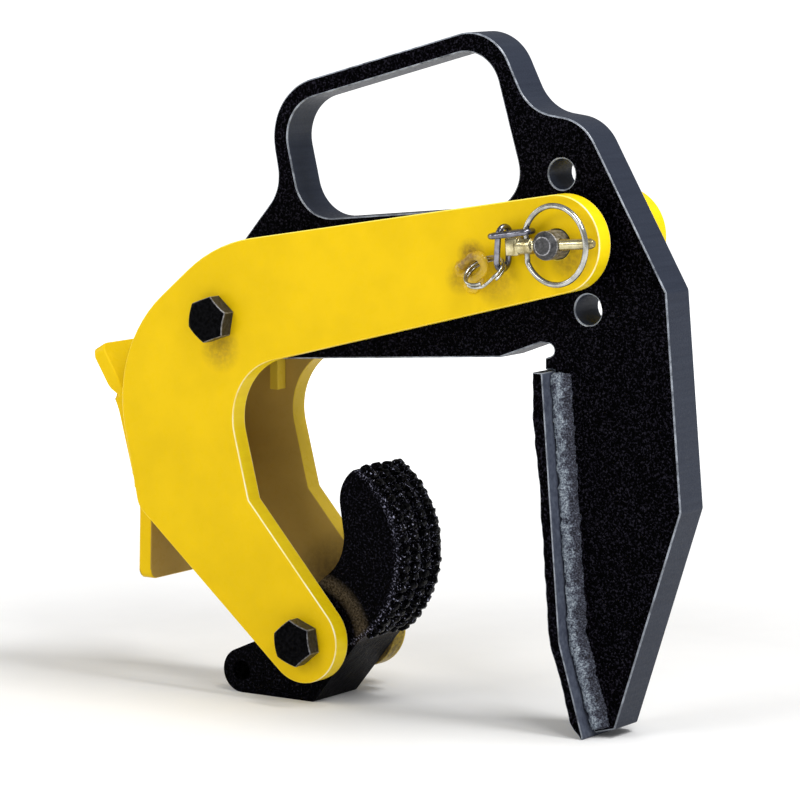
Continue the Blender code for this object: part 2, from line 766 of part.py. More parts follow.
body_plate()
jaw_pad()
pad_weld("pad_weld_front", -1)
pad_weld("pad_weld_rear", 1)
arm_plate("arm_plate_front", -1)
arm_plate("arm_plate_rear", 1)
chain_guide()
strap_weld("strap_weld_front", -1)
strap_weld("strap_weld_rear", 1)
guide_block("guide_block_front", -1)
guide_block("guide_block_rear", 1)
bolt_set("pivot", 0.0, 0.0, PIVOT_SPIN, BODY_THICK / 2, ("pivot_spacer_front", "pivot_spacer_rear"))
bolt_set("cam", CAM_X, CAM_Z, CAM_SPIN, CAM_THICK / 2, ("cam_thrust_washer_front", "cam_thrust_washer_rear"))
cam()
locking_pin()
linch_pin()
linch_ring()
tether_eye()
split_ring(place(*SPLIT_HINGE))
chain_link("chain_link_lower", LOWER_AT, LOWER_LONG, LOWER_WIDE, place(*LOWER_HINGE))
chain_link("chain_link_upper", UPPER_AT, UPPER_LONG, UPPER_WIDE, place(*UPPER_HINGE))
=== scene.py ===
"""Looks for the self-gripping plate lifting clamp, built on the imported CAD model.

Every piece is in metres in the row frame: X from the cam side to the pad side, Y through the
plates with the locking pin's ring at -Y, Z up from the floor.
"""

import json
import math

import bmesh
import bpy
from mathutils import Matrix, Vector, noise


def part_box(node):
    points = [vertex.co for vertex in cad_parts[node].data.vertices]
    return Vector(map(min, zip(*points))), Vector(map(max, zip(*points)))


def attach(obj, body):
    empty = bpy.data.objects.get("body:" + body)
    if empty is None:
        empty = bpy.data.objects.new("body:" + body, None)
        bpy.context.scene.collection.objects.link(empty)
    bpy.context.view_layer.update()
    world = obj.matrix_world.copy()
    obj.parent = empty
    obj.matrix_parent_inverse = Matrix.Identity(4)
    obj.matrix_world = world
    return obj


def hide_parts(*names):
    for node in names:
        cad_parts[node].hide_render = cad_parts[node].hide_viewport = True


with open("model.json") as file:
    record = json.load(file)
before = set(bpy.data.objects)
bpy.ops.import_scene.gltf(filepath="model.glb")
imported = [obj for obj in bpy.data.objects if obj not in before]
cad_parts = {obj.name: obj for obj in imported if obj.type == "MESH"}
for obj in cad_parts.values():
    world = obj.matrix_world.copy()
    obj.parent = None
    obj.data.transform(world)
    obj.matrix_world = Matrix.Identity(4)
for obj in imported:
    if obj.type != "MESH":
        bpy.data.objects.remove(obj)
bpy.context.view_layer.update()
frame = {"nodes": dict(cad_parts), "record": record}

MM = 0.001
PIVOT = Vector((-0.098, 0.0, 0.2213))
# Half thicknesses across Y in millimetres: the body plate, the pad, the arms' outer faces
BODY_HALF = 12.5
PAD_HALF = 25.0
ARM_OUTER = 36.0
# Millimetres from the pivot bolt's axis: the cam's bolt and the centre of its toothed arc
CAM_X = 59.8
CAM_Z = -183.2
TOOTH_CENTRE = (59.5, -132.0)
BODY_OF = {node: body for body, nodes in frame["record"]["behaviour"]["bodies"].items() for node in nodes}


# ---------------------------------------------------------------- material helpers


def start(name, colour, roughness, metallic=0.0, specular=0.5):
    material = bpy.data.materials.new(name)
    material.use_nodes = True
    tree = material.node_tree
    shader = tree.nodes["Principled BSDF"]
    shader.inputs["Base Color"].default_value = (*colour, 1.0)
    shader.inputs["Roughness"].default_value = roughness
    shader.inputs["Metallic"].default_value = metallic
    shader.inputs["Specular IOR Level"].default_value = specular
    where = tree.nodes.new("ShaderNodeTexCoord").outputs["Object"]
    return material, tree, shader, where


def stretched(tree, where, scale):
    node = tree.nodes.new("ShaderNodeMapping")
    node.inputs["Scale"].default_value = scale
    tree.links.new(where, node.inputs["Vector"])
    return node.outputs["Vector"]


def grain(tree, where, scale, detail=2.0, rough=0.5, distortion=0.0):
    node = tree.nodes.new("ShaderNodeTexNoise")
    node.inputs["Scale"].default_value = scale
    node.inputs["Detail"].default_value = detail
    node.inputs["Roughness"].default_value = rough
    node.inputs["Distortion"].default_value = distortion
    tree.links.new(where, node.inputs["Vector"])
    return node.outputs["Fac"]


def shades(tree, factor, stops):
    node = tree.nodes.new("ShaderNodeValToRGB")
    ramp = node.color_ramp
    while len(ramp.elements) < len(stops):
        ramp.elements.new(0.5)
    for element, (position, colour) in zip(ramp.elements, stops):
        element.position = position
        element.color = (*colour, 1.0)
    tree.links.new(factor, node.inputs["Fac"])
    return node.outputs["Color"]


def levels(tree, factor, low, high, to_low, to_high):
    node = tree.nodes.new("ShaderNodeMapRange")
    node.inputs["From Min"].default_value = low
    node.inputs["From Max"].default_value = high
    node.inputs["To Min"].default_value = to_low
    node.inputs["To Max"].default_value = to_high
    tree.links.new(factor, node.inputs["Value"])
    return node.outputs["Result"]


def blended(tree, factor, first, second, mode="MIX"):
    node = tree.nodes.new("ShaderNodeMix")
    node.data_type = "RGBA"
    node.blend_type = mode
    for socket, value in ((node.inputs[0], factor), (node.inputs[6], first), (node.inputs[7], second)):
        if isinstance(value, bpy.types.NodeSocket):
            tree.links.new(value, socket)
        elif isinstance(value, float):
            socket.default_value = value
        else:
            socket.default_value = (*value, 1.0)
    return node.outputs[2]


def raised(tree, shader, *heights):
    """Bump from (height, distance in metres) pairs, one on top of the other."""
    before = None
    for height, distance in heights:
        node = tree.nodes.new("ShaderNodeBump")
        node.inputs["Strength"].default_value = 1.0
        node.inputs["Distance"].default_value = distance
        tree.links.new(height, node.inputs["Height"])
        if before is not None:
            tree.links.new(before, node.inputs["Normal"])
        before = node.outputs["Normal"]
    tree.links.new(before, shader.inputs["Normal"])


def maths(tree, operation, first, second=None):
    node = tree.nodes.new("ShaderNodeMath")
    node.operation = operation
    tree.links.new(first, node.inputs[0])
    if second is not None:
        tree.links.new(second, node.inputs[1])
    return node.outputs["Value"]


def vector_maths(tree, operation, vector, value=None):
    node = tree.nodes.new("ShaderNodeVectorMath")
    node.operation = operation
    tree.links.new(vector, node.inputs[0])
    if value is not None:
        node.inputs[1].default_value = value
    return node


def split(tree, vector):
    node = tree.nodes.new("ShaderNodeSeparateXYZ")
    tree.links.new(vector, node.inputs["Vector"])
    return node.outputs


def from_axis(tree, where, x, z):
    """Distance in metres from the line along Y at (x mm, z mm) off the pivot axis."""
    axis = (PIVOT.x + x * MM, 0.0, PIVOT.z + z * MM)
    away = vector_maths(tree, "SUBTRACT", where, axis).outputs["Vector"]
    flat = vector_maths(tree, "MULTIPLY", away, (1.0, 0.0, 1.0)).outputs["Vector"]
    return vector_maths(tree, "LENGTH", flat).outputs["Value"]


def dust_and_shade(tree, where, spots):
    """How darkened each point is, 0 to 1, by grime and painted shade, from (x mm, z mm, radius mm, most)
    spots off the pivot axis.

    The rear arm's outer face stays unmarked.
    """
    breakup = levels(tree, grain(tree, where, 330.0, 5.0, 0.7), 0.36, 0.60, 0.45, 1.0)
    total = None
    for x, z, radius, most in spots:
        away = from_axis(tree, where, x, z)
        spot = levels(tree, away, 0.35 * radius * MM, radius * MM, most, 0.0)
        total = spot if total is None else maths(tree, "MAXIMUM", total, spot)
    rear = ARM_OUTER * MM
    front_only = levels(tree, split(tree, where)["Y"], rear - 0.002, rear - 0.001, 1.0, 0.0)
    return maths(tree, "MULTIPLY", maths(tree, "MULTIPLY", total, breakup), front_only)


def colour_from(tree, shader, colour):
    tree.links.new(colour, shader.inputs["Base Color"])


def roughness_from(tree, shader, value):
    tree.links.new(value, shader.inputs["Roughness"])


# ---------------------------------------------------------------- materials


def black_paint():
    """Thick black paint with a worm-like orange peel that catches the light in specks."""
    material, tree, shader, where = start("black_paint", (0.003, 0.003, 0.004), 0.3, specular=0.008)
    worms = grain(tree, where, 820.0, 1.0, 0.5, 0.6)
    clouds = grain(tree, where, 60.0, 3.0, 0.6)
    spots = shades(tree, worms, [
        (0.47, (0.0001, 0.0001, 0.0002)),
        (0.55, (0.0016, 0.0014, 0.0024)),
        (0.62, (0.0075, 0.0068, 0.0108)),
        (0.73, (0.0170, 0.0160, 0.0230)),
    ])
    colour_from(tree, shader, spots)
    roughness_from(tree, shader, levels(tree, clouds, 0.3, 0.7, 0.26, 0.36))
    raised(tree, shader, (worms, 0.00030), (clouds, 0.0004))
    return material


def black_edge():
    """Flame-cut edges under the same paint: satin, with faint drag lines across the thickness, in a
    lighter blue-grey than the faces that is a painted reflection of the lamps.
    """
    material, tree, shader, where = start("black_cut_edge_painted_sheen", (0.04, 0.05, 0.07), 0.42, specular=0.1)
    drag = grain(tree, stretched(tree, where, (420.0, 18.0, 420.0)), 1.0, 3.0, 0.6)
    speck = grain(tree, where, 700.0, 2.0, 0.6)
    colour = shades(tree, drag, [(0.2, (0.020, 0.025, 0.040)), (0.8, (0.030, 0.037, 0.056))])
    colour_from(tree, shader, colour)
    roughness_from(tree, shader, levels(tree, speck, 0.3, 0.7, 0.34, 0.52))
    raised(tree, shader, (drag, 0.00010), (speck, 0.0001))
    return material


def black_corner_painted_highlight():
    """The thin line along each corner: a painted highlight, brighter than the paint."""
    material, tree, shader, where = start("black_corner_painted_highlight", (0.05, 0.06, 0.07), 0.3, specular=0.7)
    painted_light_mottle = grain(tree, where, 130.0, 4.0, 0.7)
    colour_from(tree, shader, shades(tree, painted_light_mottle, [(0.36, (0.06, 0.07, 0.09)), (0.62, (0.30, 0.33, 0.38))]))
    raised(tree, shader, (painted_light_mottle, 0.0002))
    return material


def yellow_paint(name, base, specular=0.05, spots=(), dirt_and_shade_colour=(0.20, 0.11, 0.02)):
    """Yellow paint, a little uneven, with grime and painted shade where spots ask for it."""
    material, tree, shader, where = start(name, base, 0.3, specular=specular)
    peel = grain(tree, where, 260.0, 2.0, 0.5)
    broad = grain(tree, where, 38.0, 3.0, 0.55)
    dark = tuple(c * 0.955 for c in base)
    light = tuple(min(1.0, c * 1.03) for c in base)
    colour = shades(tree, broad, [(0.35, dark), (0.65, light)])
    if spots:
        colour = blended(tree, dust_and_shade(tree, where, spots), colour, dirt_and_shade_colour)
    colour_from(tree, shader, colour)
    roughness_from(tree, shader, levels(tree, peel, 0.3, 0.7, 0.24, 0.36))
    raised(tree, shader, (broad, 0.0006), (peel, 0.00006))
    return material


def yellow_corner_painted_highlight():
    """The line along an arm's corners: a painted highlight, pale on top and nearly white in patches where
    it faces right.
    """
    base = (0.86, 0.60, 0.010)
    material, tree, shader, where = start("yellow_corner_painted_highlight", base, 0.26, specular=0.3)
    turn = split(tree, tree.nodes.new("ShaderNodeTexCoord").outputs["Normal"])
    highlight_breakup = levels(tree, grain(tree, where, 55.0, 3.0, 0.6), 0.35, 0.62, 0.35, 1.0)
    up = levels(tree, turn["Z"], 0.15, 0.5, 0.0, 1.0)
    right = levels(tree, turn["X"], 0.15, 0.5, 0.0, 1.0)
    right_highlight = maths(tree, "MULTIPLY", right, highlight_breakup)
    pale = blended(tree, up, base, (0.95, 0.78, 0.13))
    colour_from(tree, shader, blended(tree, right_highlight, pale, (1.0, 0.95, 0.66)))
    raised(tree, shader, (highlight_breakup, 0.0001))
    return material


def yellow_edge():
    """The arms' flame-cut edges: the same paint, made lighter as painted light from the lamps on the
    right, over faint drag lines.
    """
    base = (0.92, 0.66, 0.006)
    material, tree, shader, where = start("yellow_cut_edge_painted_light", base, 0.28, specular=0.08)
    drag = grain(tree, stretched(tree, where, (260.0, 12.0, 260.0)), 1.0, 3.0, 0.6)
    colour_from(tree, shader, shades(tree, drag, [(0.3, (0.91, 0.64, 0.005)), (0.7, (0.96, 0.71, 0.008))]))
    raised(tree, shader, (drag, 0.00004))
    return material


def pad_back_painted_light():
    """The strip of the pad beside its weld, a lighter grey-blue than the black paint: painted light."""
    material, tree, shader, where = start("pad_back_painted_light", (0.1, 0.12, 0.15), 0.45, specular=0.2)
    painted_light_mottle = grain(tree, where, 300.0, 4.0, 0.65)
    tones = [(0.35, (0.052, 0.060, 0.090)), (0.65, (0.105, 0.122, 0.165))]
    colour_from(tree, shader, shades(tree, painted_light_mottle, tones))
    raised(tree, shader, (painted_light_mottle, 0.00015))
    return material


def weld_bead():
    """A fillet with a bright toe on the plate, a dark speckled middle and a bright toe on the pad; the
    bright toes are painted highlights.
    """
    material, tree, shader, where = start("weld_bead", (0.09, 0.10, 0.12), 0.45, 0.1, specular=0.2)
    grit = grain(tree, where, 1100.0, 2.0, 0.6)
    lumps = grain(tree, where, 260.0, 2.0, 0.5)
    depth = maths(tree, "ABSOLUTE", split(tree, where)["Y"])
    across = levels(tree, depth, BODY_HALF * MM, PAD_HALF * MM, 0.0, 1.0)
    waved = maths(tree, "ADD", across, levels(tree, lumps, 0.3, 0.7, -0.10, 0.10))
    toe_highlights = shades(tree, waved, [
        (0.16, (0.20, 0.20, 0.20)),
        (0.34, (0.62, 0.62, 0.62)),
        (0.52, (0.16, 0.16, 0.16)),
        (0.80, (0.22, 0.22, 0.22)),
        (0.93, (0.60, 0.60, 0.60)),
    ])
    both = blended(tree, 0.42, grit, toe_highlights)
    colour_from(tree, shader, shades(tree, both, [
        (0.32, (0.008, 0.008, 0.013)),
        (0.42, (0.050, 0.054, 0.078)),
        (0.52, (0.16, 0.19, 0.23)),
        (0.64, (0.40, 0.45, 0.50)),
    ]))
    roughness_from(tree, shader, levels(tree, grit, 0.3, 0.7, 0.36, 0.62))
    raised(tree, shader, (lumps, 0.0008), (grit, 0.0003))
    return material


def cast_black():
    """The cam's casting, with a brown ring round its bolt that is a painted reflection of the yellow arms,
    and a painted highlight along the lip by the studs.
    """
    material, tree, shader, where = start("cast_black", (0.003, 0.003, 0.004), 0.3, specular=0.012)
    sand = grain(tree, where, 820.0, 1.0, 0.5, 0.6)
    lumps = grain(tree, where, 110.0, 2.0, 0.5)
    skin = shades(tree, sand, [
        (0.48, (0.0001, 0.0001, 0.0002)),
        (0.57, (0.0016, 0.0015, 0.0026)),
        (0.64, (0.0080, 0.0075, 0.0120)),
        (0.74, (0.0170, 0.0165, 0.0240)),
    ])
    ring = from_axis(tree, where, CAM_X, CAM_Z)
    painted_sheen = shades(tree, levels(tree, ring, 0.026, 0.042, 0.0, 1.0), [
        (0.10, (0.0, 0.0, 0.0)),
        (0.35, (0.8, 0.8, 0.8)),
        (0.58, (0.8, 0.8, 0.8)),
        (0.88, (0.0, 0.0, 0.0)),
    ])
    at = split(tree, where)
    bolt_z = PIVOT.z + CAM_Z * MM
    above = levels(tree, at["Z"], bolt_z - 0.008, bolt_z + 0.004, 0.0, 1.0)
    painted_sheen = maths(tree, "MULTIPLY", painted_sheen, above)
    yellow_reflection = shades(tree, sand, [(0.35, (0.020, 0.015, 0.009)), (0.62, (0.080, 0.062, 0.040))])
    skin_and_reflection = blended(tree, painted_sheen, skin, yellow_reflection)
    rim = from_axis(tree, where, TOOTH_CENTRE[0], TOOTH_CENTRE[1])
    lip_highlight = shades(tree, levels(tree, rim, 0.050, 0.062, 0.0, 1.0), [
        (0.42, (0.0, 0.0, 0.0)),
        (0.62, (0.9, 0.9, 0.9)),
        (0.72, (0.4, 0.4, 0.4)),
        (0.80, (0.0, 0.0, 0.0)),
    ])
    bolt_x = PIVOT.x + CAM_X * MM
    by_studs = levels(tree, at["X"], bolt_x + 0.014, bolt_x + 0.024, 0.0, 1.0)
    lip_highlight = maths(tree, "MULTIPLY", lip_highlight, by_studs)
    glints = shades(tree, sand, [
        (0.47, (0.0010, 0.0010, 0.0016)),
        (0.56, (0.0200, 0.0200, 0.0300)),
        (0.66, (0.2200, 0.2200, 0.3000)),
    ])
    colour_from(tree, shader, blended(tree, lip_highlight, skin_and_reflection, glints))
    roughness_from(tree, shader, levels(tree, sand, 0.3, 0.7, 0.26, 0.42))
    raised(tree, shader, (lumps, 0.0006), (sand, 0.0003))
    return material


def stud_black():
    """The studs: glossy black with small sharp glints on their knobs."""
    material, tree, shader, where = start("stud_black", (0.003, 0.003, 0.004), 0.2, specular=0.03)
    sparks = grain(tree, where, 560.0, 2.0, 0.6, 0.4)
    lumps = grain(tree, where, 240.0, 2.0, 0.5)
    colour_from(tree, shader, shades(tree, sparks, [
        (0.54, (0.0002, 0.0002, 0.0004)),
        (0.61, (0.0040, 0.0040, 0.0065)),
        (0.65, (0.0600, 0.0610, 0.0900)),
        (0.71, (0.4000, 0.4100, 0.5400)),
    ]))
    roughness_from(tree, shader, levels(tree, sparks, 0.3, 0.7, 0.12, 0.26))
    raised(tree, shader, (lumps, 0.0008), (sparks, 0.0004))
    return material


def black_oxide(name, dark, light, specular):
    material, tree, shader, where = start(name, light, 0.3, specular=specular)
    scuff = grain(tree, where, 500.0, 3.0, 0.6)
    wide = grain(tree, where, 90.0, 2.0, 0.5)
    colour_from(tree, shader, shades(tree, scuff, [(0.4, dark), (0.68, light)]))
    roughness_from(tree, shader, levels(tree, wide, 0.3, 0.7, 0.26, 0.42))
    raised(tree, shader, (scuff, 0.00012))
    return material


def bare_steel(name, bright, metallic):
    material, tree, shader, where = start(name, (0.2, 0.2, 0.21), 0.42, metallic)
    mottle = grain(tree, where, 420.0, 4.0, 0.7)
    scratch = grain(tree, stretched(tree, where, (900.0, 60.0, 900.0)), 1.0, 2.0, 0.5)
    both = blended(tree, 0.35, mottle, scratch)
    tones = [(0.38, (0.06, 0.06, 0.065)), (0.52, (0.20, 0.20, 0.21)), (0.66, (0.44, 0.44, 0.46))]
    tones = [(at, tuple(min(0.9, c * bright) for c in tone)) for at, tone in tones]
    colour_from(tree, shader, shades(tree, both, tones))
    roughness_from(tree, shader, levels(tree, mottle, 0.3, 0.7, 0.34, 0.55))
    raised(tree, shader, (mottle, 0.0002))
    return material


def plated(name, dark, light, roughness, scale=420.0):
    """A plated wire or pin: bright metal with soft darker clouds."""
    material, tree, shader, where = start(name, light, roughness, 0.95)
    cloud = grain(tree, where, scale, 3.0, 0.6)
    colour_from(tree, shader, shades(tree, cloud, [(0.34, dark), (0.62, light)]))
    roughness_from(tree, shader, levels(tree, cloud, 0.3, 0.7, roughness + 0.1, roughness - 0.04))
    raised(tree, shader, (cloud, 0.00008))
    return material


# Grime and painted shade round the tether's weld, a painted shadow in the corner by the locking pin and a
# painted shadow under the pivot bolt's head
ARM_DIRT_AND_SHADOW = (
    (169.0, 33.0, 11.0, 0.55),
    (176.0, 46.0, 10.0, 0.85),
    (193.0, 33.0, 17.0, 0.45),
    (240.0, 47.0, 15.0, 0.55),
    (3.0, -17.0, 15.0, 0.60),
)
# Grime and painted shade on the weld itself
EYE_DIRT_AND_SHADE = ((178.0, 44.0, 16.0, 0.95), (190.0, 52.0, 8.0, 0.6))
# Painted shade beside the cam, on the arms' inner faces and on the rear arm's edge
BY_CAM_SHADE = ((CAM_X, CAM_Z, 60.0, 1.0),)
BY_CAM_EDGE_SHADE = ((CAM_X, CAM_Z, 60.0, 0.85),)
CAM_SHADE = (0.05, 0.04, 0.03)

BLACK = [black_paint(), black_edge(), black_corner_painted_highlight()]
YELLOW = [
    yellow_paint("yellow_paint", (0.78, 0.52, 0.0055), spots=ARM_DIRT_AND_SHADOW),
    yellow_edge(),
    yellow_corner_painted_highlight(),
    # Darker copies of the paint for inward faces, guide blocks and low edges: painted shade
    yellow_paint("yellow_inside_painted_shade", (0.47, 0.31, 0.072), 0.05, BY_CAM_SHADE, CAM_SHADE),
    yellow_paint("yellow_dull_painted_shade", (0.66, 0.46, 0.040), 0.05, BY_CAM_EDGE_SHADE, CAM_SHADE),
]
# The weld's own darker copy of the yellow paint: grime and painted shade in its hollow
YELLOW_WELD = yellow_paint("yellow_weld_dirt_and_shade", (0.66, 0.43, 0.008), 0.5, EYE_DIRT_AND_SHADE)
WELD = [weld_bead()]
CAST = [cast_black()]
STUDS = [stud_black()]
# The flats are a lighter copy, painted light, and the rims a painted highlight
OXIDE = [
    black_oxide("oxide_face", (0.0006, 0.0006, 0.0008), (0.005, 0.005, 0.006), 0.012),
    black_oxide("oxide_flats_painted_light", (0.010, 0.010, 0.012), (0.040, 0.040, 0.045), 0.2),
    black_oxide("oxide_rim_painted_highlight", (0.030, 0.030, 0.034), (0.22, 0.22, 0.24), 0.8),
]
# The end faces are a darker copy, painted shade, and the rims a painted highlight
STEEL = [
    bare_steel("bare_steel", 1.0, 0.6),
    bare_steel("steel_end_painted_shade", 0.22, 0.2),
    bare_steel("steel_rim_painted_highlight", 1.5, 0.8),
]
ZINC = [plated("yellow_zinc", (0.34, 0.28, 0.13), (0.62, 0.56, 0.34), 0.22, 160.0)]
BRIGHT = [plated("bright_steel", (0.30, 0.30, 0.27), (0.58, 0.58, 0.54), 0.16, 140.0)]
DARK = [plated("dark_steel", (0.09, 0.09, 0.11), (0.24, 0.24, 0.28), 0.18, 140.0)]
BRONZE = [plated("bronze", (0.24, 0.13, 0.04), (0.62, 0.40, 0.16), 0.32)]

SLOTS = {
    "black_paint": BLACK,
    "yellow_paint": YELLOW,
    "weld_bead": WELD,
    "cast_black": CAST,
    "black_oxide": OXIDE,
    "bare_steel": STEEL,
    "yellow_zinc": ZINC,
    "bright_steel": BRIGHT,
    "dark_steel": DARK,
    "bronze": BRONZE,
}


# ---------------------------------------------------------------- piece helpers


def clean_copy(node):
    """A CAD node's mesh with its split corners joined and its flat areas made whole again."""
    bm = bmesh.new()
    bm.from_mesh(frame["nodes"][node].data)
    bmesh.ops.remove_doubles(bm, verts=bm.verts, dist=0.000002)
    bmesh.ops.dissolve_limit(
        bm, angle_limit=math.radians(0.4), verts=bm.verts, edges=bm.edges, delimit={"NORMAL"}
    )
    return bm


def as_piece(name, data, node, materials):
    """Shows data in place of the CAD node, on the node's own body."""
    piece = bpy.data.objects.new(name, data)
    bpy.context.scene.collection.objects.link(piece)
    for material in materials:
        data.materials.append(material)
    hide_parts(node)
    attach(piece, BODY_OF[node])
    return piece


def smooth_mesh(bm, name, angle=30.0):
    mesh = bpy.data.meshes.new(name)
    bm.to_mesh(mesh)
    bm.free()
    mesh.shade_smooth()
    mesh.set_sharp_from_angle(angle=math.radians(angle))
    return mesh


# Places in a paint's list of materials; the last two are darker copies of the paint, painted shade
FACE, EDGE, CORNER, INSIDE, DULL = range(5)
# A face counts as square to Y past this share of its normal
SQUARE = 0.7
# Below these heights the strap's inner side and the rear arm's edges take the painted shade
STRAP_SHADE_TOP = 0.165
EDGE_SHADE_TOP = 0.2


def sort_faces(bm, slot, node):
    """Flat faces square to Y take the first material, cut edges the second; steel has them swapped.

    The clamp's inward-facing yellow surfaces, its guide blocks and the rear arm's low edges take the
    darker copies, painted shade.
    """
    if slot not in ("black_paint", "yellow_paint", "black_oxide", "bare_steel"):
        return
    bm.normal_update()
    for face in bm.faces:
        square = abs(face.normal.y) > SQUARE
        height = face.calc_center_median().z
        index = FACE if square != (slot == "bare_steel") else EDGE
        if node == "arm_plate_rear" and face.normal.y < -SQUARE:
            index = INSIDE
        elif node == "arm_plate_rear" and not square and height < EDGE_SHADE_TOP:
            index = DULL
        elif node == "arm_plate_front" and face.normal.y > SQUARE:
            index = INSIDE
        elif node.startswith("guide_block"):
            index = DULL
        elif node == "chain_guide_strap":
            index = INSIDE if face.normal.x > 0.2 and height < STRAP_SHADE_TOP else FACE
        face.material_index = index


def rounded(piece, width, segments=3, limit=35.0, material=-1, clamp=False):
    bevel = piece.modifiers.new("corners", "BEVEL")
    bevel.width = width * MM
    bevel.segments = segments
    bevel.limit_method = "ANGLE"
    bevel.angle_limit = math.radians(limit)
    bevel.use_clamp_overlap = clamp
    bevel.material = material


def softened(node, slot, width, painted_sheen=True):
    """A CAD node with rounded corners, which by default take the corner material, a painted highlight."""
    materials = SLOTS[slot]
    bm = clean_copy(node)
    sort_faces(bm, slot, node)
    piece = as_piece(node + "_shown", smooth_mesh(bm, node + "_shown"), node, materials)
    rounded(piece, width, material=CORNER if painted_sheen and len(materials) > CORNER else -1)


def remeshed(bm, name, voxel):
    """The bmesh's solid as an even grid of small faces."""
    mesh = bpy.data.meshes.new(name + "_grid")
    bm.to_mesh(mesh)
    bm.free()
    helper = bpy.data.objects.new(name + "_grid", mesh)
    bpy.context.scene.collection.objects.link(helper)
    modifier = helper.modifiers.new("grid", "REMESH")
    modifier.mode = "VOXEL"
    modifier.voxel_size = voxel * MM
    modifier.use_smooth_shade = True
    bpy.context.view_layer.update()
    graph = bpy.context.evaluated_depsgraph_get()
    result = bpy.data.meshes.new_from_object(helper.evaluated_get(graph), depsgraph=graph)
    bpy.data.objects.remove(helper)
    return result


def roughened(mesh, layers):
    """Moves each vertex along its normal by the sum of (amount mm, size mm, seed) noise layers."""
    moves = []
    for vertex in mesh.vertices:
        amount = 0.0
        for deep, size, seed in layers:
            at = vertex.co / (size * MM) + Vector((seed, seed * 1.7, -seed))
            amount += deep * noise.noise(at)
        moves.append(vertex.normal * (amount * MM))
    for vertex, move in zip(mesh.vertices, moves):
        vertex.co += move
    mesh.shade_smooth()


def bead(node, slot, voxel, layers):
    mesh = remeshed(clean_copy(node), node + "_shown", voxel)
    roughened(mesh, layers)
    return as_piece(node + "_shown", mesh, node, SLOTS[slot])


def wire(name, points, radius, node, slot, cyclic=False):
    curve = bpy.data.curves.new(name, "CURVE")
    curve.dimensions = "3D"
    curve.bevel_depth = radius * MM
    curve.bevel_resolution = 6
    curve.use_fill_caps = True
    spline = curve.splines.new("POLY")
    spline.points.add(len(points) - 1)
    for point, where in zip(spline.points, points):
        point.co = (*where, 1.0)
    spline.use_cyclic_u = cyclic
    spline.use_smooth = True
    return as_piece(name, curve, node, SLOTS[slot])


def place(x, y, z):
    """The row-frame point of a millimetre position measured from the pivot bolt's axis."""
    return PIVOT + Vector((x, y, z)) * MM


# ---------------------------------------------------------------- plates, pad and welds

softened("body_plate", "black_paint", 0.8)
softened("arm_plate_front", "yellow_paint", 0.65)
softened("arm_plate_rear", "yellow_paint", 0.65, painted_sheen=False)
softened("chain_guide_strap", "yellow_paint", 0.9, painted_sheen=False)
for side in ("front", "rear"):
    softened("guide_block_" + side, "yellow_paint", 0.6, painted_sheen=False)
    bead("strap_weld_" + side, "yellow_paint", 0.7, [(0.9, 5.0, 3.0), (0.35, 1.8, 9.0)])
    bead("pad_weld_" + side, "weld_bead", 0.8, [(1.2, 9.0, 1.0), (0.8, 3.2, 5.0), (0.5, 1.5, 7.0)])


def jaw_pad():
    """The fixed pad, its gripping face and ends left rough from the cutting torch."""
    low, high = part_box("jaw_pad")
    bm = clean_copy("jaw_pad")
    step = 0.0025
    height = low.z + step
    while height < high.z - step / 2:
        parts = list(bm.verts) + list(bm.edges) + list(bm.faces)
        bmesh.ops.bisect_plane(bm, geom=parts, plane_co=(0, 0, height), plane_no=(0, 0, 1), dist=1e-7)
        height += step
    bm.normal_update()
    moves = {}
    for vertex in bm.verts:
        if vertex.normal.x < -0.3 and vertex.co.z > low.z + 0.003:
            slow = noise.noise(Vector((vertex.co.z * 42.0, 0.4, 2.0)))
            quick = noise.noise(Vector((vertex.co.z * 170.0, 1.4, 5.0)))
            moves[vertex] = (1.5 * slow + 0.7 * quick) * MM
    for vertex, move in moves.items():
        vertex.co.x += move
    for face in bm.faces:
        face.material_index = EDGE if face.normal.x > SQUARE else FACE
    materials = [BLACK[FACE], pad_back_painted_light(), BLACK[CORNER]]
    piece = as_piece("jaw_pad_shown", smooth_mesh(bm, "jaw_pad_shown"), "jaw_pad", materials)
    rounded(piece, 0.6, limit=40.0, material=CORNER, clamp=True)


jaw_pad()


# ---------------------------------------------------------------- bolts and hidden hardware

for prefix in ("pivot", "cam"):
    softened(prefix + "_bolt", "black_oxide", 0.5)
    softened(prefix + "_nut", "black_oxide", 0.4)
    softened(prefix + "_washer", "black_oxide", 0.3)
    softened(prefix + "_bush", "bronze", 0.3)
for side in ("front", "rear"):
    softened("pivot_spacer_" + side, "bare_steel", 0.4)
    softened("cam_thrust_washer_" + side, "bare_steel", 0.2)
softened("locking_pin", "bare_steel", 0.4)
softened("linch_pin", "yellow_zinc", 0.35)


# ---------------------------------------------------------------- cam

TOOTH_TIP_R = 61.0
TOOTH_DEEP = 3.0
TOOTH_ROWS = 20
TOOTH_START = math.radians(-55.5)
TOOTH_PITCH = math.radians(5.7)
CAM_THICK = 44.0
TOOTH_COLUMNS = 4


def cam_body():
    """The cam casting with its toothed face cut back to the teeth's roots."""
    bm = clean_copy("cam")
    centre = place(TOOTH_CENTRE[0], 0, TOOTH_CENTRE[1])
    root = (TOOTH_TIP_R - TOOTH_DEEP + 0.4) * MM
    first = TOOTH_START - math.radians(4)
    last = TOOTH_START + (TOOTH_ROWS + 0.6) * TOOTH_PITCH
    for vertex in bm.verts:
        away = Vector((vertex.co.x - centre.x, 0, vertex.co.z - centre.z))
        angle = math.atan2(away.z, away.x)
        if first < angle < last and away.length > root - 0.6 * MM:
            moved = centre + away.normalized() * root
            vertex.co.x = moved.x
            vertex.co.z = moved.z
    piece = as_piece("cam_shown", smooth_mesh(bm, "cam_shown"), "cam", CAST)
    rounded(piece, 1.8, segments=4, limit=40.0, clamp=True)


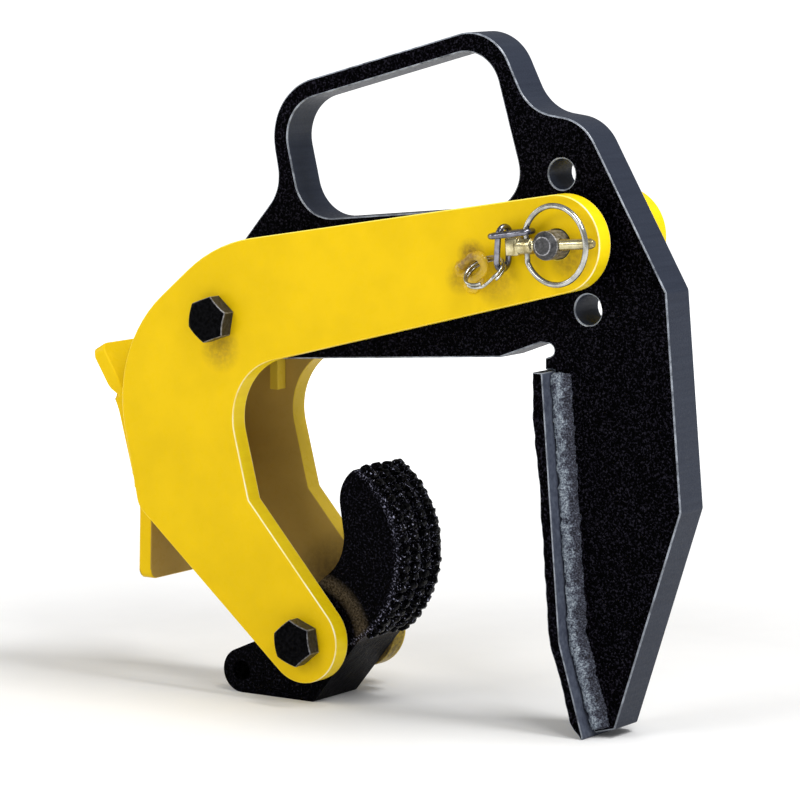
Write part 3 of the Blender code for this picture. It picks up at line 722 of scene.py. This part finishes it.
def cam_studs():
    """Cast gripping studs, slightly uneven, in rows across the cam's face."""
    bm = bmesh.new()
    centre = place(TOOTH_CENTRE[0], 0, TOOTH_CENTRE[1])
    pitch_y = CAM_THICK / TOOTH_COLUMNS
    for row in range(TOOTH_ROWS):
        for column in range(TOOTH_COLUMNS):
            seed = Vector((row * 1.37 + 0.5, column * 2.11 + 0.5, 4.0))
            shift = [noise.noise(seed + Vector((0, 0, i * 3.3))) for i in range(4)]
            angle = TOOTH_START + (row + 0.68 + 0.10 * shift[0]) * TOOTH_PITCH
            y = -CAM_THICK / 2 + (column + 0.5) * pitch_y + 0.5 * shift[1]
            if column == 0:
                y += 0.35
            if column == TOOTH_COLUMNS - 1:
                y -= 0.35
            out = Vector((math.cos(angle), 0, math.sin(angle)))
            along = Vector((-math.sin(angle), 0, math.cos(angle)))
            middle = centre + out * ((TOOTH_TIP_R - 3.0) * MM) + Vector((0, y * MM, 0))
            made = bmesh.ops.create_icosphere(bm, subdivisions=3, radius=1.0)
            for vertex in made["verts"]:
                p = vertex.co.copy()
                boxy = [math.copysign(abs(c) ** 0.72, c) for c in p]
                rough = 1.0 + 0.26 * noise.noise(p * 1.8 + seed * 5.0)
                across = boxy[0] * 2.75 * rough * (1 + 0.12 * shift[2])
                wide = boxy[1] * 4.7 * rough * (1 + 0.08 * shift[3])
                tall = p.z * (3.25 + 0.5 * shift[2]) * rough
                vertex.co = middle + (along * across + Vector((0, wide, 0)) + out * tall) * MM
    bmesh.ops.recalc_face_normals(bm, faces=bm.faces)
    mesh = smooth_mesh(bm, "cam_studs", 80.0)
    piece = bpy.data.objects.new("cam_studs", mesh)
    bpy.context.scene.collection.objects.link(piece)
    mesh.materials.append(STUDS[0])
    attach(piece, "cam")
    return piece


cam_body()
cam_studs()


# ---------------------------------------------------------------- rings, links and eye

ADJUST_RADIUS = 238.0
ADJUST_MIDDLE = math.radians(13.3)
PIN_X = ADJUST_RADIUS * math.cos(ADJUST_MIDDLE)
PIN_Z = ADJUST_RADIUS * math.sin(ADJUST_MIDDLE)
LINCH_OUT = 8.0
LINCH_TILT = math.radians(4.5)
LINCH_ALONG = Vector((math.cos(LINCH_TILT), 0, math.sin(LINCH_TILT)))
LINCH_UP = Vector((-math.sin(LINCH_TILT), 0, math.cos(LINCH_TILT)))
LINCH_AT = place(PIN_X, -ARM_OUTER - LINCH_OUT, PIN_Z)
RING_WIRE = 1.6
RING_R = 21.5
RING_HINGE = -14.5
RING_ARC = 19.4
RING_LEG = 6.8
RING_HALF_TURN = math.radians(155.0)
RING_REST = math.radians(6.9)
EYE_X = 184.97
EYE_Z = 41.49
EYE_BEND = 5.2
EYE_TILT = math.radians(34.6)
SPLIT_AT = (192.92, -12.76, 38.41)
SPLIT_NORMAL = (-0.177, -0.81, 1.072)
SPLIT_R = 11.6
SPLIT_WIRE = 0.9
SPLIT_STEP = 2.2
SPLIT_START = 160.0
LINK_WIRE = 1.75
LINK_SIDE = 5.2
LINK_HALF = 6.6


def linch_ring():
    hinge = LINCH_AT + LINCH_ALONG * (RING_HINGE * MM)
    across = LINCH_ALONG * math.cos(RING_REST) + Vector((0, -1, 0)) * math.sin(RING_REST)
    points = [hinge + LINCH_UP * (d * MM) for d in (2.0, 4.4, RING_LEG)]
    pieces = 96
    for k in range(pieces + 1):
        angle = RING_HALF_TURN - 2 * RING_HALF_TURN * k / pieces
        away = across * (RING_ARC + RING_R * math.cos(angle)) + LINCH_UP * (RING_R * math.sin(angle))
        points.append(hinge + away * MM)
    points += [hinge - LINCH_UP * (d * MM) for d in (RING_LEG, 4.4, 2.0)]
    return wire("linch_ring_shown", points, RING_WIRE, "linch_ring", "bright_steel")


def chain_link(node, centre, long_way, wide_way):
    long_way = Vector(long_way).normalized()
    wide_way = Vector(wide_way)
    wide_way = (wide_way - long_way * wide_way.dot(long_way)).normalized()
    middle = place(centre[0], -ARM_OUTER + centre[1], centre[2])
    points = []
    for end in (1, -1):
        for k in range(25):
            angle = math.pi * k / 24
            along = long_way * (LINK_HALF + LINK_SIDE * math.sin(angle))
            points.append(middle + (along + wide_way * (LINK_SIDE * math.cos(angle))) * (end * MM))
    return wire(node + "_shown", points, LINK_WIRE, node, "dark_steel", cyclic=True)


def split_ring():
    normal = Vector(SPLIT_NORMAL).normalized()
    first = normal.cross(Vector((0, 0, 1))).normalized()
    second = normal.cross(first)
    middle = place(SPLIT_AT[0], -ARM_OUTER + SPLIT_AT[1], SPLIT_AT[2])
    points = []
    for degrees in range(0, 681, 5):
        crossed = min(1.0, max(0.0, (degrees - 320) / 40))
        rise = SPLIT_STEP * (crossed - 0.5)
        angle = math.radians(SPLIT_START + degrees)
        away = first * (SPLIT_R * math.cos(angle)) + second * (SPLIT_R * math.sin(angle)) + normal * rise
        points.append(middle + away * MM)
    return wire("split_ring_shown", points, SPLIT_WIRE, "split_ring", "bright_steel")


def tether_eye():
    """The painted bar, sunk at both ends in lumpy weld on the arm's face."""
    bm = clean_copy("tether_eye")
    along = Vector((math.cos(EYE_TILT), 0, math.sin(EYE_TILT)))
    up = Vector((-math.sin(EYE_TILT), 0, math.cos(EYE_TILT)))
    foot = place(EYE_X, -ARM_OUTER, EYE_Z)
    for side, back, wide in ((1, 13.5, 5.6), (-1, 13.5, 5.6), (1, 9.0, 4.2), (-1, 9.0, 4.2)):
        middle = foot + (up * (side * EYE_BEND) - along * back) * MM
        made = bmesh.ops.create_icosphere(bm, subdivisions=3, radius=wide * MM)
        for vertex in made["verts"]:
            vertex.co.y *= 0.62
            vertex.co += middle
            vertex.co.y = min(vertex.co.y, -(ARM_OUTER + 0.05) * MM)
    mesh = remeshed(bm, "tether_eye_shown", 0.45)
    layers = [(0.7, 4.2, 2.0), (0.3, 1.6, 6.0)]
    roughened(mesh, layers)
    for vertex in mesh.vertices:
        vertex.co.y = min(vertex.co.y, -(ARM_OUTER + 0.02) * MM)
    return as_piece("tether_eye_shown", mesh, "tether_eye", [YELLOW_WELD])


linch_ring()
chain_link("chain_link_lower", (201.60, -7.42, 51.62), (0.062, -0.004, 1.0), (0.091, 1.0, 0.0))
chain_link("chain_link_upper", (209.06, -10.79, 60.22), (1.0, 0.294, 0.154), (0.0, 1.0, 0.045))
split_ring()
tether_eye()


# ---------------------------------------------------------------- studio


def floor():
    size = 40.0
    mesh = bpy.data.meshes.new("floor")
    corners = [(-size, -size, 0), (size, -size, 0), (size, size, 0), (-size, size, 0)]
    mesh.from_pydata(corners, [], [(0, 1, 2, 3)])
    plane = bpy.data.objects.new("floor", mesh)
    bpy.context.scene.collection.objects.link(plane)
    material, tree, shader, where = start("pale_floor", (0.88, 0.88, 0.88), 0.9, specular=0.0)
    paper = grain(tree, where, 40.0, 2.0)
    tones = [(0.3, (0.875, 0.875, 0.875)), (0.7, (0.885, 0.885, 0.885))]
    colour_from(tree, shader, shades(tree, paper, tones))
    shader.inputs["Emission Color"].default_value = (1.0, 1.0, 1.0, 1.0)
    outwards = vector_maths(tree, "LENGTH", where).outputs["Value"]
    glow = levels(tree, outwards, 0.30, 1.4, 0.02, 0.90)
    tree.links.new(glow, shader.inputs["Emission Strength"])
    mesh.materials.append(material)


def soft_light(name, at, towards, size, power, colour=(1.0, 1.0, 1.0)):
    lamp = bpy.data.lights.new(name, "AREA")
    lamp.shape = "RECTANGLE"
    lamp.size, lamp.size_y = size
    lamp.energy = power
    lamp.color = colour
    holder = bpy.data.objects.new(name, lamp)
    bpy.context.scene.collection.objects.link(holder)
    holder.location = at
    holder.rotation_euler = (Vector(towards) - Vector(at)).to_track_quat("-Z", "Y").to_euler()
    return holder


floor()
MIDDLE = (0.0, 0.0, 0.18)
soft_light("key_front", (-0.7, -2.3, 1.5), MIDDLE, (1.2, 1.0), 20.0)
soft_light("left_fill", (-2.0, -0.5, 0.9), MIDDLE, (0.9, 0.9), 7.0)
soft_light("top_right", (0.9, 0.1, 2.0), MIDDLE, (0.7, 0.7), 28.0)
soft_light("far_right", (1.4, -0.9, 1.7), MIDDLE, (0.6, 0.6), 12.0)

world = bpy.data.worlds.new("studio")
bpy.context.scene.world = world
world.use_nodes = True
world.node_tree.nodes["Background"].inputs["Color"].default_value = (1.0, 1.0, 1.0, 1.0)
world.node_tree.nodes["Background"].inputs["Strength"].default_value = 0.34

bpy.context.scene.view_settings.view_transform = "Standard"

lens = bpy.data.cameras.new("camera")
lens.sensor_width = 36.0
lens.lens = 183.309
lens.clip_end = 100.0
camera = bpy.data.objects.new("camera", lens)
bpy.context.scene.collection.objects.link(camera)
camera.location = (1.298817, -1.916724, 0.475865)
camera.rotation_euler = (math.radians(90.0 - 7.3547), 0.0, math.radians(33.996))
bpy.context.scene.camera = camera

bpy.context.view_layer.update()
